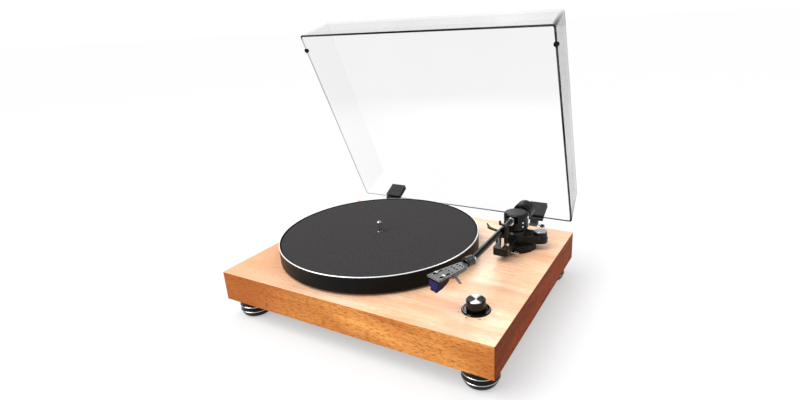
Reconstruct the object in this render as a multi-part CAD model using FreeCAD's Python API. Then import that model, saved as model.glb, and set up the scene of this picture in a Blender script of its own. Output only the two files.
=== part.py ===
import FreeCAD, Part
import math
import os

# Record player with a veneered plinth, belt drive, straight tonearm and clear hinged dust cover.
# Millimetres. Origin on the standing plane under the middle of the plinth.
# +X is the player's right, +Y its back, +Z up. The dust cover is modelled open.

V = FreeCAD.Vector
os.makedirs("parts", exist_ok=True)
FIT = 0.05                                # gap between pieces that are fixed to each other

# ---- plinth ------------------------------------------------------------------------------
PLINTH_W, PLINTH_D, PLINTH_H = 416.0, 332.0, 43.0
FOOT_H = 28.0
PLINTH_Z = FOOT_H                         # underside of the plinth
TOP_Z = PLINTH_Z + PLINTH_H               # playing deck surface
DECK_T = 14.0                             # thickness of the deck above the cavity
DECK_UNDER = TOP_Z - DECK_T
WALL_T = 16.0
LEDGE_W, COVER_T = 6.0, 3.0               # rebate that takes the bottom cover
CORNER_BLOCK = 32.0
CAV_X, CAV_Y = PLINTH_W / 2 - WALL_T, PLINTH_D / 2 - WALL_T
COVER_X, COVER_Y = CAV_X + LEDGE_W - 0.3, CAV_Y + LEDGE_W - 0.3

# ---- feet --------------------------------------------------------------------------------
FOOT_X, FOOT_Y, FOOT_R, FOOT_RING_R = 180.0, 139.0, 22.3, 23.0
RING_T, RING_LOW_Z, RING_HIGH_Z = 1.4, 8.9, 16.5
FOOT_BASE_Z, PAD_R, PAD_T = 1.6, 17.5, 4.6

# ---- platter -----------------------------------------------------------------------------
SPINDLE_X, SPINDLE_Y = -43.5, -2.0
PLATTER_R, PLATTER_Z0, PLATTER_Z1 = 150.0, TOP_Z + 3.0, 97.9
RIM_T, LIP_W, WEB_T = 6.5, 2.2, 5.6
SEAT_Z = PLATTER_Z1 - 3.3                 # floor of the recess that holds the mat
MAT_R, MAT_T = 146.8, 2.7
DRIVE_R, DRIVE_T, DRIVE_Z0 = 100.0, 4.0, 77.0
PIN_R, SHAFT_R, PIN_TOP = 3.57, 4.0, 114.5
SHOULDER_R = PIN_R + 0.6                  # wider part of the pin, down in the mat's hole
BORE_GAP = 0.04                           # radial running clearance of turned shafts
BALL_R, BALL_Z = 3.0, 50.0

# ---- motor and belt ----------------------------------------------------------------------
MOTOR_REACH, MOTOR_DIR = 122.0, math.radians(145.0)
MOTOR_X = SPINDLE_X + MOTOR_REACH * math.cos(MOTOR_DIR)
MOTOR_Y = SPINDLE_Y + MOTOR_REACH * math.sin(MOTOR_DIR)
MOTOR_R, MOTOR_Z0, MOTOR_Z1 = 21.0, 33.0, 51.0
PULLEY_R, PULLEY_Z0, PULLEY_Z1 = 9.0, 76.0, 87.0
BELT_T, BELT_Z0, BELT_Z1, BELT_GAP = 0.8, 79.0, 84.0, 0.25

# ---- tonearm -----------------------------------------------------------------------------
ARM_X, ARM_Y = 142.8, 83.4                # vertical pivot of the arm
ARM_Z, WEIGHT_Z = 118.5, 115.0            # centre height of the tube and of the weight
BASE_R, BASE_TOP = 30.0, TOP_Z + 10.0
BOARD_Z0, BOARD_Z1 = BASE_TOP, 95.0
TUBE_R, TUBE_BORE, NECK_R = 4.0, 3.2, 3.0
TUBE_FRONT, TUBE_REAR = -72.0, 61.0       # ends of the tube along Y
HOUSING_R, HOUSING_WALL, HOUSING_Z0, HOUSING_Z1 = 18.0, 3.0, 97.4, 125.0
HOUSING_DOME = 4.0                        # rounding of the housing's top edge
OFFSET = math.radians(20.5)               # angle of the headshell to the tube
HEAD_X, HEAD_Y = 143.8, TUBE_FRONT        # where the headshell line meets the tube
PLATE_TOP, PLATE_T = 118.0, 2.2
PLATE_UNDER = PLATE_TOP - PLATE_T
REST_Y = 26.0                             # arm rest, in front of the pivot
LIFT_X, LIFT_Y, LIFT_R = 146.5, 33.2, 50.0
LIFT_TOP = 113.9
LEVER_X, LEVER_Y, LEVER_Z = 134.3, 52.6, 96.4
SKATE_X, SKATE_Y, SKATE_R = 178.0, 90.0, 9.5
WEIGHT_R, WEIGHT_Y0, WEIGHT_Y1 = 13.9, 109.6, 128.0
DIAL_R, DIAL_Y0, DIAL_Y1 = 12.8, 104.6, 109.2

# ---- controls, hinges, dust cover --------------------------------------------------------
KNOB_X, KNOB_Y, KNOB_R, KNOB_TOP = 161.0, -107.0, 11.8, 85.7
BEZEL_R, BEZEL_T = 17.7, 1.8
PANEL_X0, PANEL_X1, PANEL_Z0, PANEL_Z1 = -119.0, -20.0, 33.0, 63.0
HINGE_X, HINGE_W, HINGE_Y, HINGE_Z = 139.0, 34.0, 182.2, 63.3
LEAF_W, LEAF_H = 29.0, 29.0                # hinge plate clamped to the cover's back wall
BRACKET_SCREW_DX, CLAMP_SCREW_DX = 8.0, 9.0
LID_W, LID_D, LID_H, LID_T = 402.5, 334.3, 64.0, 3.0
LID_FRONT, LID_Z = -166.0, TOP_Z + 1.5    # closed: front edge and rim height
DRAFT_SIDE, DRAFT_FRONT, DRAFT_REAR = 6.2, 9.4, 4.1
LID_OPEN = 65.7                           # degrees from closed to fully open


# ---- building blocks ---------------------------------------------------------------------
def box(x0, x1, y0, y1, z0, z1):
    return Part.makeBox(x1 - x0, y1 - y0, z1 - z0, V(x0, y0, z0))


def rod(r, a, b):
    """Cylinder of radius r from point a to point b."""
    a, b = V(*a), V(*b)
    return Part.makeCylinder(r, (b - a).Length, a, b - a)


def tube(r, bore, a, b):
    a, b = V(*a), V(*b)
    d = (b - a).normalize()
    return rod(r, tuple(a), tuple(b)).cut(rod(bore, tuple(a - d), tuple(b + d)))


def turned(profile, x=0.0, y=0.0):
    """Solid of revolution about a vertical axis from (radius, height) points."""
    pts = [V(r, 0, z) for r, z in profile]
    face = Part.Face(Part.makePolygon(pts + [pts[0]]))
    solid = face.revolve(V(0, 0, 0), V(0, 0, 1), 360)
    solid.translate(V(x, y, 0))
    return solid


def prism_z(points, z0, z1):
    pts = [V(x, y, z0) for x, y in points]
    return Part.Face(Part.makePolygon(pts + [pts[0]])).extrude(V(0, 0, z1 - z0))


def prism_x(points, x0, x1):
    """Prism along X from (y, z) points."""
    pts = [V(x0, y, z) for y, z in points]
    return Part.Face(Part.makePolygon(pts + [pts[0]])).extrude(V(x1 - x0, 0, 0))


def rounded_box(x0, x1, y0, y1, z0, z1, r):
    """Box whose upright corners are rounded."""
    body = box(x0, x1, y0, y1, z0, z1)
    upright = [e for e in body.Edges if abs(e.tangentAt(e.FirstParameter).z) > 0.99]
    return body.makeFillet(r, upright)


def soften(shape, r, pick):
    """Round the edges that pick accepts."""
    return shape.makeFillet(r, [e for e in shape.Edges if pick(e)])


def at_height(z):
    return lambda e: abs(e.BoundBox.ZMin - z) < 1e-3 and abs(e.BoundBox.ZMax - z) < 1e-3


def ring_array(make, count, radius, x, y, first=0.0):
    out = []
    for k in range(count):
        a = math.radians(first) + 2 * math.pi * k / count
        out.append(make(x + radius * math.cos(a), y + radius * math.sin(a)))
    return out


def screw_up(x, y, z0, z1, r, head_r, head_t):
    """Screw driven upwards: its head hangs below z0 and its shank ends at z1."""
    body = rod(r, (x, y, z0 - 0.01), (x, y, z1)).fuse(rod(head_r, (x, y, z0 - head_t), (x, y, z0)))
    slot = box(x - head_r, x + head_r, y - 0.4, y + 0.4, z0 - head_t - 1, z0 - head_t + 0.8)
    return body.cut(slot)


def screw_down(x, y, z0, z1, r, head_r, head_t):
    """Screw driven downwards: its head sits on z1 and its shank ends at z0."""
    body = rod(r, (x, y, z0), (x, y, z1 + 0.01)).fuse(rod(head_r, (x, y, z1), (x, y, z1 + head_t)))
    slot = box(x - head_r, x + head_r, y - 0.4, y + 0.4, z1 + head_t - 0.8, z1 + head_t + 1)
    return body.cut(slot)


def sweep(points, r):
    """Round wire of radius r through the points."""
    curve = Part.BSplineCurve()
    curve.interpolate([V(*p) for p in points])
    path = Part.Wire(curve.toShape())
    start = curve.value(curve.FirstParameter)
    circle = Part.Wire(Part.makeCircle(r, start, curve.tangent(curve.FirstParameter)[0]))
    return path.makePipeShell([circle], True, False)


pieces = {}                               # node name -> its separate solids


def add(node, *shapes):
    pieces.setdefault(node, []).extend(shapes)


# ---- plinth and bottom cover -------------------------------------------------------------
corners = [(sx, sy) for sx in (-1, 1) for sy in (-1, 1)]
cover_screw_spots = [(sx * (CAV_X + LEDGE_W / 2), y) for sx in (-1, 1) for y in (-90.0, 0.0, 90.0)]
cover_screw_spots += [(x, sy * (CAV_Y + LEDGE_W / 2)) for sy in (-1, 1) for x in (-110.0, 0.0, 110.0)]
hinge_screw_z = (PLINTH_Z + 12.0, PLINTH_Z + 24.0)

plinth = rounded_box(-PLINTH_W / 2, PLINTH_W / 2, -PLINTH_D / 2, PLINTH_D / 2, PLINTH_Z, TOP_Z, 2.0)
plinth = soften(plinth, 0.8, at_height(TOP_Z))
cavity = box(-CAV_X, CAV_X, -CAV_Y, CAV_Y, PLINTH_Z - 1, DECK_UNDER)
for sx, sy in corners:
    x0, x1 = sorted((sx * (CAV_X - CORNER_BLOCK), sx * (CAV_X + 1)))
    y0, y1 = sorted((sy * (CAV_Y - CORNER_BLOCK), sy * (CAV_Y + 1)))
    cavity = cavity.cut(box(x0, x1, y0, y1, PLINTH_Z - 2, DECK_UNDER + 1))
rebate_x, rebate_y = CAV_X + LEDGE_W, CAV_Y + LEDGE_W
plinth = plinth.cut(cavity)
plinth = plinth.cut(box(-rebate_x, rebate_x, -rebate_y, rebate_y, PLINTH_Z - 1, PLINTH_Z + COVER_T))
deck_bores = ((SPINDLE_X, SPINDLE_Y, 11.0 + FIT), (MOTOR_X, MOTOR_Y, 12.0),
              (ARM_X, ARM_Y, 13.0 + FIT), (KNOB_X, KNOB_Y, 4.6))
for x, y, r in deck_bores:
    plinth = plinth.cut(rod(r, (x, y, DECK_UNDER - 1), (x, y, TOP_Z + 1)))
for sx, sy in corners:
    plinth = plinth.cut(rod(2.5 + FIT, (sx * FOOT_X, sy * FOOT_Y, PLINTH_Z),
                            (sx * FOOT_X, sy * FOOT_Y, 47)))
for x, y in cover_screw_spots:
    plinth = plinth.cut(rod(1.5 + FIT, (x, y, PLINTH_Z), (x, y, PLINTH_Z + 13)))
for sx in (-1, 1):
    for dx in (-BRACKET_SCREW_DX, BRACKET_SCREW_DX):
        for z in hinge_screw_z:
            x = sx * HINGE_X + dx
            plinth = plinth.cut(rod(1.8 + FIT, (x, PLINTH_D / 2 - 13, z), (x, PLINTH_D / 2 + 1, z)))
window = box(PANEL_X0 + 6, PANEL_X1 - 6, CAV_Y - 1, PLINTH_D / 2 + 1, PANEL_Z0 + 4, PANEL_Z1 - 7)
plinth = plinth.cut(window)
panel_screw_spots = [(x, z) for x in (PANEL_X0 + 3, PANEL_X1 - 3) for z in (PANEL_Z0 + 3, PANEL_Z1 - 3)]
for x, z in panel_screw_spots:
    plinth = plinth.cut(rod(1.2 + FIT, (x, PLINTH_D / 2 - 9, z), (x, PLINTH_D / 2 + 1, z)))
add("plinth", plinth)

cover = box(-COVER_X, COVER_X, -COVER_Y, COVER_Y, PLINTH_Z, PLINTH_Z + COVER_T)
for sx, sy in corners:
    cover = cover.cut(rod(3.2, (sx * FOOT_X, sy * FOOT_Y, PLINTH_Z - 1), (sx * FOOT_X, sy * FOOT_Y, 32)))
for x, y in cover_screw_spots:
    cover = cover.cut(rod(1.7, (x, y, PLINTH_Z - 1), (x, y, 32)))
for k in range(9):
    x = MOTOR_X - 24 + 6 * k
    cover = cover.cut(rounded_box(x - 1.25, x + 1.25, MOTOR_Y - 70, MOTOR_Y - 34, PLINTH_Z - 1, 32, 1.2))
add("bottom_cover", cover)
add("case_screws", *[screw_up(x, y, PLINTH_Z, PLINTH_Z + 12, 1.5, 2.8, 1.4) for x, y in cover_screw_spots])

# ---- feet: three black turned pieces with two bright rings between them, rubber pad ------
ring_low, ring_high = RING_LOW_Z + RING_T, RING_HIGH_Z + RING_T
BOLT_R, BOLT_HOLE = 2.5, 3.2
foot_top = [(BOLT_HOLE, ring_high), (FOOT_R, ring_high), (FOOT_R, FOOT_H - 1), (FOOT_R - 1, FOOT_H),
            (BOLT_HOLE, FOOT_H)]
foot_middle = [(BOLT_HOLE, ring_low), (FOOT_R, ring_low), (FOOT_R, RING_HIGH_Z), (BOLT_HOLE, RING_HIGH_Z)]
foot_base = [(BOLT_HOLE, RING_LOW_Z), (FOOT_R, RING_LOW_Z), (FOOT_R - 0.9, 5.2),
             (FOOT_R - 3.0, FOOT_BASE_Z),
             (PAD_R + FIT, FOOT_BASE_Z), (PAD_R + FIT, PAD_T + FIT), (5.5, PAD_T + FIT), (5.5, 7.2),
             (BOLT_HOLE, 7.2)]
pad = [(6.0, 0.6), (6.6, 0.0), (16.4, 0.0), (PAD_R, 1.0), (PAD_R, PAD_T), (6.0, PAD_T)]


def foot_ring(z):
    edge = 0.35
    return [(BOLT_HOLE, z), (FOOT_RING_R - edge, z), (FOOT_RING_R, z + edge),
            (FOOT_RING_R, z + RING_T - edge),
            (FOOT_RING_R - edge, z + RING_T), (BOLT_HOLE, z + RING_T)]


feet = [(sx * FOOT_X, sy * FOOT_Y) for sx, sy in corners]
add("foot_bodies", *[turned(foot_top, x, y) for x, y in feet])
add("foot_rings", *[turned(foot_ring(z), x, y) for x, y in feet for z in (RING_LOW_Z, RING_HIGH_Z)])
add("foot_bodies", *[turned(foot_middle, x, y) for x, y in feet])
add("foot_bodies", *[turned(foot_base, x, y) for x, y in feet])
add("foot_pads", *[turned(pad, x, y) for x, y in feet])
add("case_screws", *[screw_up(x, y, 7.15, 46, BOLT_R, 5.0, 2.2) for x, y in feet])

# ---- main bearing, platter and mat -------------------------------------------------------
sx0, sy0 = SPINDLE_X, SPINDLE_Y
BUSH_R = 6.5
add("bearing_housing", turned([(0, 44), (11, 44), (11, TOP_Z), (17, TOP_Z), (17, TOP_Z + 2.2),
                               (12, TOP_Z + 3.6),
                                 (BUSH_R + FIT, TOP_Z + 3.6), (BUSH_R + FIT, 53.0), (3.3, 53.0),
                                 (3.3, 46.8),
                                 (0, 46.8)], sx0, sy0))
add("bearing_bushes", tube(BUSH_R, SHAFT_R + BORE_GAP, (sx0, sy0, 53.2), (sx0, sy0, TOP_Z + 3.4)))
add("bearing_housing", tube(18.0, 11.0 + FIT, (sx0, sy0, DECK_UNDER - 5), (sx0, sy0, DECK_UNDER)))
add("thrust_ball", Part.makeSphere(BALL_R, V(sx0, sy0, BALL_Z)))

HUB_R, HUB_Z0 = 6.0, 76.5
PIN_Z0 = SEAT_Z + MAT_T + 0.2             # the pin's fine-turned length starts just above the mat
add("spindle", turned([(0, BALL_Z + BALL_R + 0.05), (SHAFT_R - 0.5, BALL_Z + BALL_R + 0.05),
                         (SHAFT_R, BALL_Z + BALL_R + 0.6), (SHAFT_R, HUB_Z0), (HUB_R, HUB_Z0),
                         (HUB_R, SEAT_Z - 1.0),
                         (SHOULDER_R, SEAT_Z - 1.0), (SHOULDER_R, PIN_Z0), (PIN_R, PIN_Z0),
                         (PIN_R, PIN_TOP - 2.6),
                         (PIN_R - 0.7, PIN_TOP - 1.0), (1.2, PIN_TOP - 0.15), (0, PIN_TOP)], sx0, sy0))
hub_r = HUB_R + FIT
platter = turned([(hub_r, HUB_Z0 + 0.5), (14.0, HUB_Z0 + 0.5), (15.0, SEAT_Z - WEB_T - 3),
                  (22.0, SEAT_Z - WEB_T),
                  (DRIVE_R - DRIVE_T, SEAT_Z - WEB_T), (DRIVE_R - DRIVE_T, DRIVE_Z0), (DRIVE_R, DRIVE_Z0),
                  (DRIVE_R, SEAT_Z - WEB_T), (PLATTER_R - RIM_T, SEAT_Z - WEB_T),
                  (PLATTER_R - RIM_T, PLATTER_Z0),
                  (PLATTER_R - 1.2, PLATTER_Z0), (PLATTER_R, PLATTER_Z0 + 1.2),
                  (PLATTER_R, PLATTER_Z1 - 0.8),
                  (PLATTER_R - 0.8, PLATTER_Z1), (PLATTER_R - LIP_W, PLATTER_Z1),
                  (PLATTER_R - LIP_W, SEAT_Z),
                  (hub_r, SEAT_Z)], sx0, sy0)
for hole in ring_array(lambda x, y: rod(13.0, (x, y, 80), (x, y, SEAT_Z + 1)), 2, MOTOR_REACH, sx0,
                       sy0, 145.0):
    platter = platter.cut(hole)
add("platter", platter)
mat_hole = SHOULDER_R + 0.4
add("mat", turned([(mat_hole, SEAT_Z), (MAT_R, SEAT_Z), (MAT_R, SEAT_Z + MAT_T - 0.5),
                   (MAT_R - 0.5, SEAT_Z + MAT_T),
                     (mat_hole, SEAT_Z + MAT_T)], sx0, sy0))

# ---- motor, pulley and belt --------------------------------------------------------------
mx, my = MOTOR_X, MOTOR_Y
motor = turned([(0, MOTOR_Z0), (MOTOR_R - 1, MOTOR_Z0), (MOTOR_R, MOTOR_Z0 + 1), (MOTOR_R, MOTOR_Z1),
                (5, MOTOR_Z1),
                (5, MOTOR_Z1 + 3.4), (1.5 + BORE_GAP, MOTOR_Z1 + 3.4), (1.5 + BORE_GAP, MOTOR_Z0 + 4),
                (0, MOTOR_Z0 + 4)],
               mx, my)
add("motor_body", motor)
motor_spots = ring_array(lambda x, y: (x, y), 3, 25.0, mx, my, 85.0)
PLATE_Z0, PLATE_Z1 = MOTOR_Z1, MOTOR_Z1 + 1.6
bracket = rod(29.0, (mx, my, PLATE_Z0), (mx, my, PLATE_Z1)).cut(rod(5 + FIT, (mx, my, 50), (mx, my, 60)))
for x, y in motor_spots:
    bracket = bracket.cut(rod(2.2, (x, y, 50), (x, y, 60)))
add("motor_body", bracket)
add("motor_grommets", *[tube(4.2, 1.8, (x, y, PLATE_Z1), (x, y, DECK_UNDER)) for x, y in motor_spots])
add("case_screws", *[screw_up(x, y, PLATE_Z0, DECK_UNDER - 0.1, 1.6, 3.6, 1.8) for x, y in motor_spots])
add("motor_shaft", rod(1.5, (mx, my, MOTOR_Z0 + 4.2), (mx, my, PULLEY_Z1 - 0.5)))
crown = (BELT_Z0 + BELT_Z1) / 2
add("pulley", turned([(1.5 + FIT / 2, PULLEY_Z0), (PULLEY_R + 1.2, PULLEY_Z0),
                      (PULLEY_R + 1.2, PULLEY_Z0 + 1),
                        (PULLEY_R - 0.3, BELT_Z0 - 1), (PULLEY_R, crown), (PULLEY_R - 0.3, BELT_Z1 + 1),
                        (PULLEY_R + 0.6, PULLEY_Z1 - 1), (PULLEY_R, PULLEY_Z1),
                        (1.5 + FIT / 2, PULLEY_Z1)], mx, my))


def belt_outline(offset):
    """Face inside a loop that wraps the drive ring and the pulley at the given offset."""
    big, small = DRIVE_R + offset, PULLEY_R + offset
    lean = math.acos((big - small) / MOTOR_REACH)
    c1, c2 = V(sx0, sy0, BELT_Z0), V(mx, my, BELT_Z0)

    def on(c, r, a):
        return c + V(r * math.cos(a), r * math.sin(a), 0)
    a0, a1 = MOTOR_DIR + lean, MOTOR_DIR - lean
    far, near = MOTOR_DIR + math.pi, MOTOR_DIR
    edges = [Part.Arc(on(c1, big, a0), on(c1, big, far), on(c1, big, a1)).toShape(),
             Part.makeLine(on(c1, big, a1), on(c2, small, a1)),
             Part.Arc(on(c2, small, a1), on(c2, small, near), on(c2, small, a0)).toShape(),
             Part.makeLine(on(c2, small, a0), on(c1, big, a0))]
    return Part.Face(Part.Wire(edges))


belt = belt_outline(BELT_GAP + BELT_T).cut(belt_outline(BELT_GAP)).extrude(V(0, 0, BELT_Z1 - BELT_Z0))
add("drive_belt", belt)

# ---- speed selector ----------------------------------------------------------------------
kx, ky = KNOB_X, KNOB_Y
add("knob_bezel", turned([(4.6, TOP_Z), (BEZEL_R, TOP_Z), (BEZEL_R, TOP_Z + 0.6),
                          (BEZEL_R - 1.0, TOP_Z + BEZEL_T),
                            (BEZEL_R - 2.2, TOP_Z + BEZEL_T), (BEZEL_R - 3.0, TOP_Z + 1.0),
                            (4.6, TOP_Z + 1.0)], kx, ky))
SWITCH_Z0 = DECK_UNDER - 12
switch = box(kx - 9, kx + 9, ky - 9, ky + 9, SWITCH_Z0, DECK_UNDER - 0.02)
switch = switch.cut(rod(3.0 + BORE_GAP, (kx, ky, SWITCH_Z0 + 4), (kx, ky, DECK_UNDER + 1)))
switch = switch.fuse(tube(4.5, 3.0 + BORE_GAP, (kx, ky, DECK_UNDER - 0.1), (kx, ky, TOP_Z)))
add("rotary_switch", switch)
add("knob", rod(3.0, (kx, ky, SWITCH_Z0 + 4.3), (kx, ky, KNOB_TOP - 5)))
knob_z0 = TOP_Z + 1.5
add("knob", turned([(3.0 + FIT, knob_z0), (KNOB_R - 0.6, knob_z0), (KNOB_R, knob_z0 + 0.6),
                    (KNOB_R, KNOB_TOP - 1.4),
                      (KNOB_R - 0.3, KNOB_TOP - 1.0), (0, KNOB_TOP - 1.0), (0, KNOB_TOP - 4.9),
                      (3.0 + FIT, KNOB_TOP - 4.9)],
                     kx, ky))
add("knob_cap", turned([(0, KNOB_TOP - 1.0), (KNOB_R - 0.9, KNOB_TOP - 1.0), (KNOB_R - 0.9, KNOB_TOP - 0.5),
                          (KNOB_R - 1.4, KNOB_TOP), (0, KNOB_TOP - 0.4)], kx, ky))

# ---- back panel with its connectors, and the circuit board -------------------------------
BACK = PLINTH_D / 2
PANEL_T = 1.6
RCA_X, GROUND_X, DC_X, SLIDER_X = (-54.0, -36.0), -71.0, -107.0, -88.0
PANEL_MID = (PANEL_Z0 + PANEL_Z1) / 2 - 1.5
panel = box(PANEL_X0, PANEL_X1, BACK, BACK + PANEL_T, PANEL_Z0, PANEL_Z1)
for x in RCA_X:
    panel = panel.cut(rod(5.2, (x, BACK - 1, PANEL_MID), (x, BACK + 3, PANEL_MID)))
panel = panel.cut(rod(2.1, (GROUND_X, BACK - 1, PANEL_MID), (GROUND_X, BACK + 3, PANEL_MID)))
panel = panel.cut(rod(5.0, (DC_X, BACK - 1, PANEL_MID), (DC_X, BACK + 3, PANEL_MID)))
panel = panel.cut(box(SLIDER_X - 4.5, SLIDER_X + 4.5, BACK - 1, BACK + 3, PANEL_MID - 2, PANEL_MID + 2))
for x, z in panel_screw_spots:
    panel = panel.cut(rod(1.4, (x, BACK - 1, z), (x, BACK + 3, z)))
add("back_panel", panel)


def back_screw(x, z, length, r, head_r, head_t, y):
    body = rod(r, (x, y - length, z), (x, y + 0.01, z)).fuse(rod(head_r, (x, y, z), (x, y + head_t, z)))
    return body.cut(box(x - head_r, x + head_r, y + head_t - 0.6, y + head_t + 1, z - 0.35, z + 0.35))


add("case_screws", *[back_screw(x, z, 8, 1.2, 2.4, 1.2, BACK + PANEL_T) for x, z in panel_screw_spots])
jack_shells, jack_cores = [], []
for x in RCA_X:
    shell = rod(5.1, (x, BACK - 6, PANEL_MID), (x, BACK + PANEL_T + 0.4, PANEL_MID))
    shell = shell.fuse(rod(4.15, (x, BACK, PANEL_MID), (x, BACK + 10, PANEL_MID)))
    jack_shells.append(shell.cut(rod(3.2, (x, BACK - 7, PANEL_MID), (x, BACK + 11, PANEL_MID))))
    core = rod(3.2 - FIT, (x, BACK - 5.5, PANEL_MID), (x, BACK + 8.6, PANEL_MID))
    jack_cores.append(core.cut(rod(1.7, (x, BACK, PANEL_MID), (x, BACK + 9, PANEL_MID))))
add("signal_jacks", *jack_shells)
add("socket_inserts", *jack_cores)
inlet = rod(4.95, (DC_X, BACK - 10, PANEL_MID), (DC_X, BACK + PANEL_T + 0.3, PANEL_MID))
inlet = inlet.cut(rod(2.75, (DC_X, BACK - 8, PANEL_MID), (DC_X, BACK + 3, PANEL_MID)))
add("socket_inserts", inlet)
add("signal_jacks", rod(1.0, (DC_X, BACK - 7.95, PANEL_MID), (DC_X, BACK + 1, PANEL_MID)))
add("signal_jacks", rod(2.0, (GROUND_X, BACK - 6, PANEL_MID), (GROUND_X, BACK + 9, PANEL_MID)).fuse(
    rod(4.5, (GROUND_X, BACK - 4, PANEL_MID), (GROUND_X, BACK - 0.05, PANEL_MID))))
nut = tube(5.0, 2.0 + BORE_GAP, (GROUND_X, BACK + 3.2, PANEL_MID), (GROUND_X, BACK + 8.6, PANEL_MID))
for k in range(12):
    a = 2 * math.pi * k / 12
    gx, gz = GROUND_X + 5.3 * math.cos(a), PANEL_MID + 5.3 * math.sin(a)
    nut = nut.cut(rod(0.6, (gx, BACK + 2, gz), (gx, BACK + 10, gz)))
add("ground_nut", nut)
slider = box(SLIDER_X - 3.9, SLIDER_X - 0.1, BACK - 1.0, BACK + PANEL_T + 2.0, PANEL_MID - 1.6,
             PANEL_MID + 1.6)
add("level_slider", slider)
frame_box = box(SLIDER_X - 8, SLIDER_X + 8, BACK - 7, BACK - 0.1, PANEL_MID - 4, PANEL_MID + 4)
frame_box = frame_box.cut(box(SLIDER_X - 5, SLIDER_X + 5, BACK - 1.4, BACK + 1, PANEL_MID - 2.2,
                              PANEL_MID + 2.2))
add("socket_inserts", frame_box)

BOARD_X0, BOARD_X1, BOARD_Y0, BOARD_Y1, PCB_Z = -118.0, -30.0, 92.0, 146.0, 38.0
pcb_spots = [(x, y) for x in (BOARD_X0 + 4, BOARD_X1 - 4) for y in (BOARD_Y0 + 4, BOARD_Y1 - 4)]
pcb = box(BOARD_X0, BOARD_X1, BOARD_Y0, BOARD_Y1, PCB_Z, PCB_Z + 1.6)
for x, y in pcb_spots:
    pcb = pcb.cut(rod(1.6, (x, y, PCB_Z - 1), (x, y, PCB_Z + 3)))
add("circuit_board", pcb)
parts_on_board = [rod(4.0, (x, 108, PCB_Z + 1.6), (x, 108, PCB_Z + 12)) for x in (-104.0, -92.0)]
parts_on_board += [box(-80, -64, 104, 116, PCB_Z + 1.6, PCB_Z + 4.4),
                   box(-56, -44, 100, 112, PCB_Z + 1.6, PCB_Z + 4.0),
                   box(-100, -86, 126, 136, PCB_Z + 1.6, PCB_Z + 9.0)]
add("board_components", *parts_on_board)
add("board_components", *[tube(3.0, 1.3, (x, y, PLINTH_Z + COVER_T), (x, y, PCB_Z)) for x, y in pcb_spots])
add("case_screws", *[screw_down(x, y, PCB_Z - 4, PCB_Z + 1.6, 1.25, 2.6, 1.4) for x, y in pcb_spots])

# ---- tonearm base ------------------------------------------------------------------------
ax, ay = ARM_X, ARM_Y
SLEEVE_R, YAW_R = 7.0, 4.0
add("arm_base", turned([(SLEEVE_R + FIT, 50), (13, 50), (13, TOP_Z), (BASE_R, TOP_Z),
                        (BASE_R, BASE_TOP - 2.6),
                          (BASE_R - 0.8, BASE_TOP - 1.0), (BASE_R - 3, BASE_TOP),
                          (SLEEVE_R + FIT, BASE_TOP)], ax, ay).cut(
    rod(1.5 + FIT, (ax + 9.0, ay - BASE_R - 1, TOP_Z + 5), (ax + 9.0, ay - BASE_R + 8, TOP_Z + 5))))
add("arm_base", tube(20.0, 13 + FIT, (ax, ay, DECK_UNDER - 5), (ax, ay, DECK_UNDER)))
add("bearing_bushes", tube(SLEEVE_R, YAW_R + BORE_GAP, (ax, ay, 56), (ax, ay, BOARD_Z1 + 1.4)))
lock = rod(2.0, (ax + 1.6, ay - BASE_R - 5, TOP_Z + 5), (ax + 16.4, ay - BASE_R - 5, TOP_Z + 5))
add("base_trim", lock.fuse(rod(1.5, (ax + 9.0, ay - BASE_R - 5, TOP_Z + 5),
                               (ax + 9.0, ay - BASE_R + 7.5, TOP_Z + 5))))

LIFT_BODY_TOP = 92.0
board = rod(19.0, (ax, ay, BOARD_Z0), (ax, ay, BOARD_Z1))
wing = prism_z([(ax, ay - 17.5), (SKATE_X + 2.6, SKATE_Y - 10.2), (SKATE_X - 3.5, SKATE_Y + 10.0),
                (ax - 5, ay + 17.5)],
               BOARD_Z0, BOARD_Z1 - 2)
board = board.fuse(wing).fuse(rod(SKATE_R + 1, (SKATE_X, SKATE_Y, BOARD_Z0), (SKATE_X, SKATE_Y, 88.5)))
board = board.cut(rod(SKATE_R + 1.2, (SKATE_X, SKATE_Y, 88.5), (SKATE_X, SKATE_Y, 100)))
reach = rounded_box(130.5, 152.0, 20.5, 76.0, BOARD_Z0, LIFT_BODY_TOP, 4.0)
board = board.fuse(reach).removeSplitter()
board = board.cut(rod(SLEEVE_R + FIT, (ax, ay, 70), (ax, ay, 100)))
board = board.cut(rod(2.75 + FIT, (ax, REST_Y, 84), (ax, REST_Y, 100)))
board = board.cut(rod(1.8, (LIFT_X, LIFT_Y, 78), (LIFT_X, LIFT_Y, 100)))
board = board.cut(rod(2.6, (SKATE_X, SKATE_Y, 83), (SKATE_X, SKATE_Y, 100)))
add("arm_board", board)
add("base_trim", tube(13.0, SLEEVE_R + FIT, (ax, ay, BOARD_Z1), (ax, ay, BOARD_Z1 + 1.6)))

# ---- arm rest with its latch -------------------------------------------------------------
add("arm_posts", rod(2.75, (ax, REST_Y, 84.5), (ax, REST_Y, 108)))
CRADLE_TOP = ARM_Z - TUBE_R - 0.35
cradle = box(ax - 6.5, ax + 8.4, REST_Y - 4, REST_Y + 4, 108, CRADLE_TOP)
cradle = cradle.fuse(box(ax + 4.5, ax + 8.4, REST_Y - 4, REST_Y + 4, 108, 127.0))
LATCH_X, LATCH_Z = ax + 6.4, 125.2
LATCH_UNDER = 125.6                       # leaves the tube room to rise 2.5 degrees below the latch
cradle = cradle.cut(box(ax + 4, ax + 10, REST_Y - 2.3, REST_Y + 2.3, 122.4, 128))
cradle = cradle.cut(rod(0.8 + FIT, (LATCH_X, REST_Y - 5, LATCH_Z), (LATCH_X, REST_Y + 5, LATCH_Z)))
add("rest_cradle", cradle)
add("arm_pins", rod(0.8, (LATCH_X, REST_Y - 4, LATCH_Z), (LATCH_X, REST_Y + 4, LATCH_Z)))
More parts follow.
